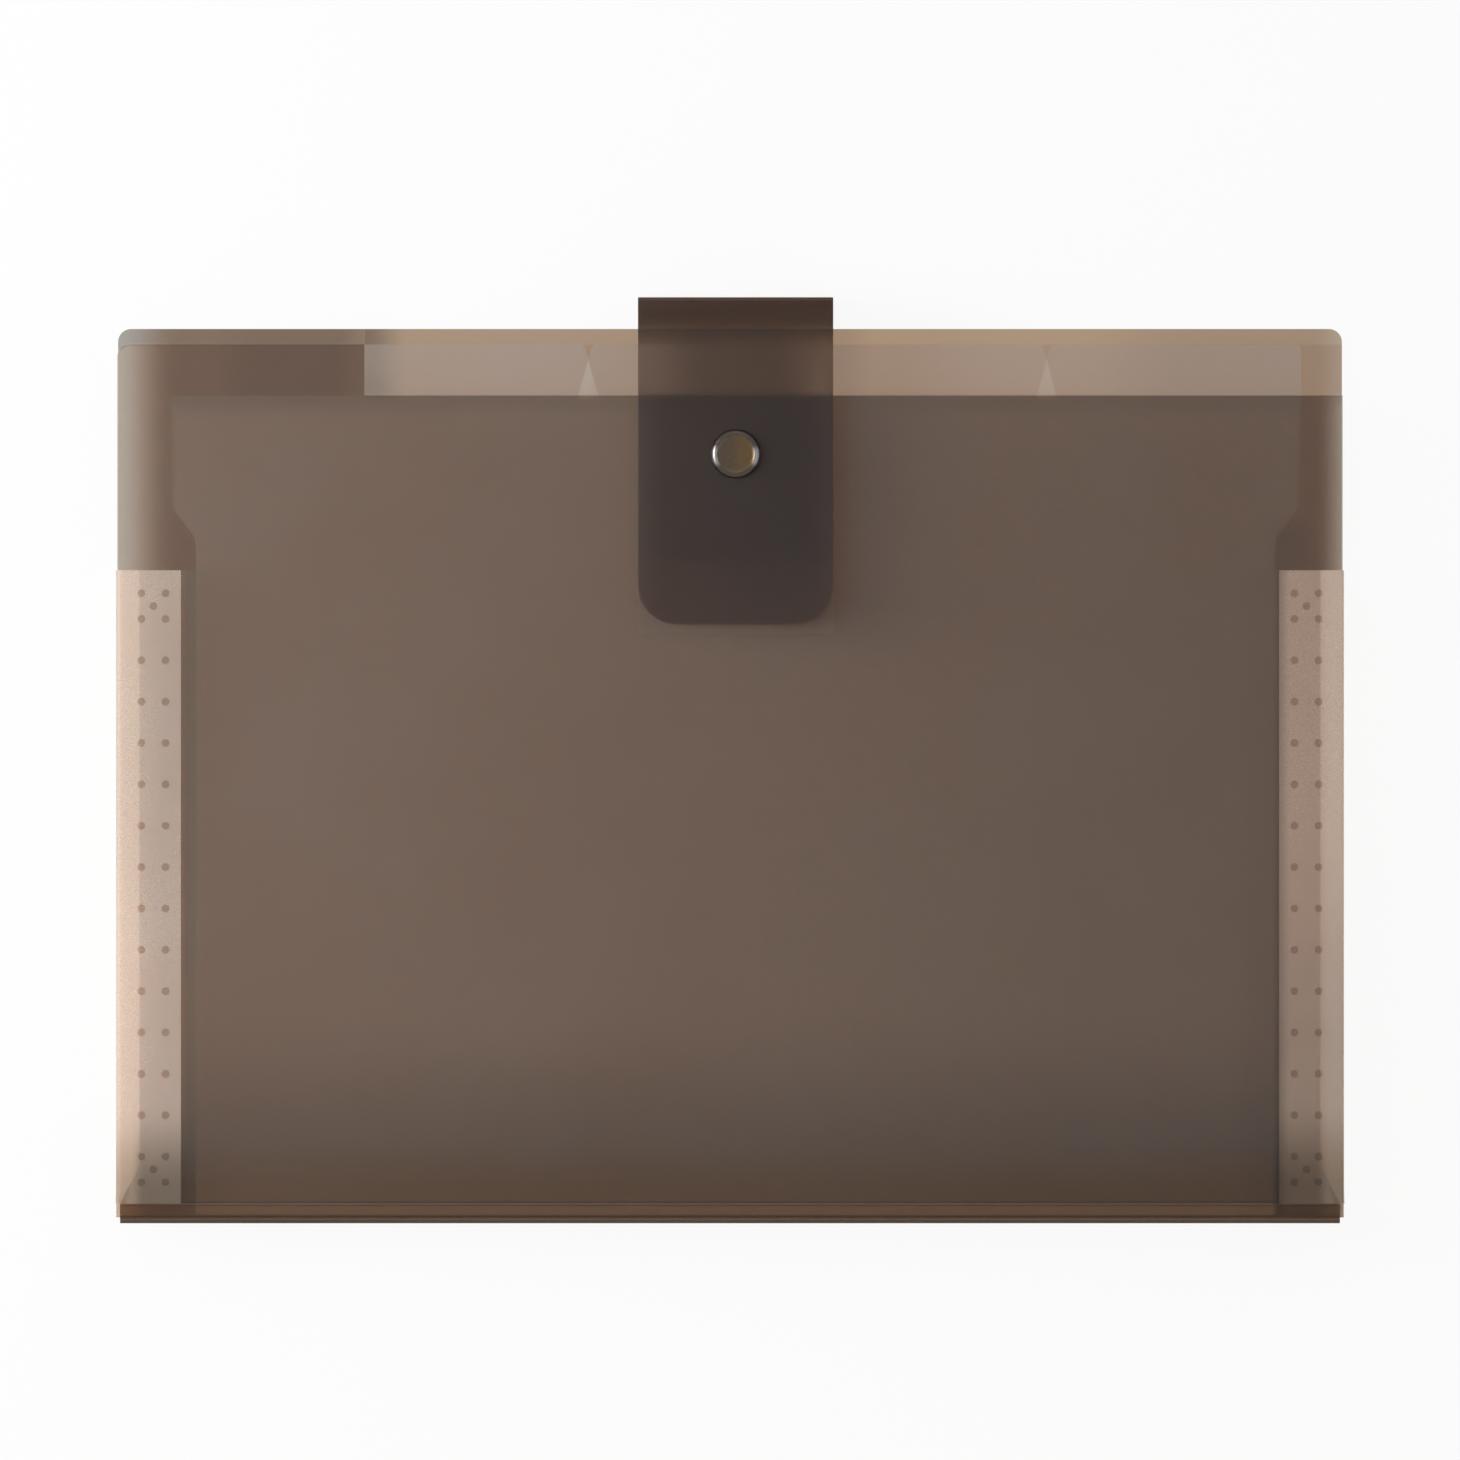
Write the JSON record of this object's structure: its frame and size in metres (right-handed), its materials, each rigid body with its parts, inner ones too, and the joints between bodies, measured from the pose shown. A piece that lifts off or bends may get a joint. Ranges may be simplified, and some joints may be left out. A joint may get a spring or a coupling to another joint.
{
  "type": "expanding file",
  "caption": "Closed landscape A4 expanding file in translucent smoke plastic, with tabbed dividers, pleated side gussets, a scored spine and a snap strap.",
  "frame": {"origin": "centre of the file's outline, on the surface that it lies on", "axes": "+X across the file to the picture's right, +Y from the spine to the open top, +Z from the back cover to the front cover"},
  "size_m": [0.33, 0.2486, 0.0309],
  "materials": {
    "cover_plastic": "frosted translucent smoke polypropylene, stiff sheet",
    "divider_plastic": "frosted translucent pale smoke polypropylene, thin sheet",
    "gusset_plastic": "frosted translucent pale smoke polypropylene, thin and creased, spot welded",
    "strap_plastic": "dark smoke polypropylene, fine satin, thick sheet",
    "snap_metal": "plain smoke-tinted metal, satin"
  },
  "bodies": {
    "back": {"back_cover": "cover_plastic", "spine_panel_1": "cover_plastic", "left_back_flange": "gusset_plastic", "right_back_flange": "gusset_plastic", "left_pleat_5": "gusset_plastic", "right_pleat_5": "gusset_plastic", "strap_anchor": "strap_plastic"},
    "divider_4": {"divider_4": "divider_plastic", "spine_panel_2": "cover_plastic", "left_pleat_4": "gusset_plastic", "right_pleat_4": "gusset_plastic"},
    "divider_3": {"divider_3": "divider_plastic", "spine_panel_3": "cover_plastic", "left_pleat_3": "gusset_plastic", "right_pleat_3": "gusset_plastic"},
    "divider_2": {"divider_2": "divider_plastic", "spine_panel_4": "cover_plastic", "left_pleat_2": "gusset_plastic", "right_pleat_2": "gusset_plastic"},
    "divider_1": {"divider_1": "divider_plastic", "spine_panel_5": "cover_plastic", "left_pleat_1": "gusset_plastic", "right_pleat_1": "gusset_plastic"},
    "front": {"front_cover": "cover_plastic", "left_front_flange": "gusset_plastic", "right_front_flange": "gusset_plastic", "closure_patch": "strap_plastic", "snap_stud": "snap_metal", "snap_post": "snap_metal"},
    "strap_bridge": {"strap_bridge": "strap_plastic"},
    "strap_flap": {"strap_flap": "strap_plastic", "snap_cap": "snap_metal", "snap_socket": "snap_metal"}
  },
  "joints": [
    {"name": "pocket_5_hinge", "type": "hinge", "parent": "back", "child": "divider_4", "pos_m": [0, -0.12258, 0.0064], "axis": [1, 0, 0], "range_deg": [0, 5.4], "deforming": ["left_pleat_5", "right_pleat_5"]},
    {"name": "pocket_4_hinge", "type": "hinge", "parent": "divider_4", "child": "divider_3", "pos_m": [0, -0.12395, 0.0112], "axis": [1, 0, 0], "range_deg": [0, 5.4], "deforming": ["left_pleat_4", "right_pleat_4"]},
    {"name": "pocket_3_hinge", "type": "hinge", "parent": "divider_3", "child": "divider_2", "pos_m": [0, -0.12395, 0.016], "axis": [1, 0, 0], "range_deg": [0, 5.4], "deforming": ["left_pleat_3", "right_pleat_3"]},
    {"name": "pocket_2_hinge", "type": "hinge", "parent": "divider_2", "child": "divider_1", "pos_m": [0, -0.12258, 0.0208], "axis": [1, 0, 0], "range_deg": [0, 5.4], "deforming": ["left_pleat_2", "right_pleat_2"]},
    {"name": "pocket_1_hinge", "type": "hinge", "parent": "divider_1", "child": "front", "pos_m": [0, -0.11925, 0.0258], "axis": [1, 0, 0], "range_deg": [0, 5.4], "deforming": ["left_pleat_1", "right_pleat_1"]},
    {"name": "strap_back_fold", "type": "hinge", "parent": "back", "child": "strap_bridge", "pos_m": [0.0015, 0.12385, 0.0005], "axis": [-1, 0, 0], "range_deg": [0, 86.4]},
    {"name": "strap_front_fold", "type": "hinge", "parent": "strap_bridge", "child": "strap_flap", "pos_m": [0.0015, 0.12385, 0.029], "axis": [-1, 0, 0], "range_deg": [0, 86.4]}
  ],
  "couplings": [
    {"joint": "pocket_4_hinge", "follows": "pocket_5_hinge", "ratio": 1},
    {"joint": "pocket_3_hinge", "follows": "pocket_5_hinge", "ratio": 1},
    {"joint": "pocket_2_hinge", "follows": "pocket_5_hinge", "ratio": 1},
    {"joint": "pocket_1_hinge", "follows": "pocket_5_hinge", "ratio": 1},
    {"joint": "strap_back_fold", "follows": "pocket_5_hinge", "ratio": 16},
    {"joint": "strap_front_fold", "follows": "pocket_5_hinge", "ratio": 16}
  ]
}
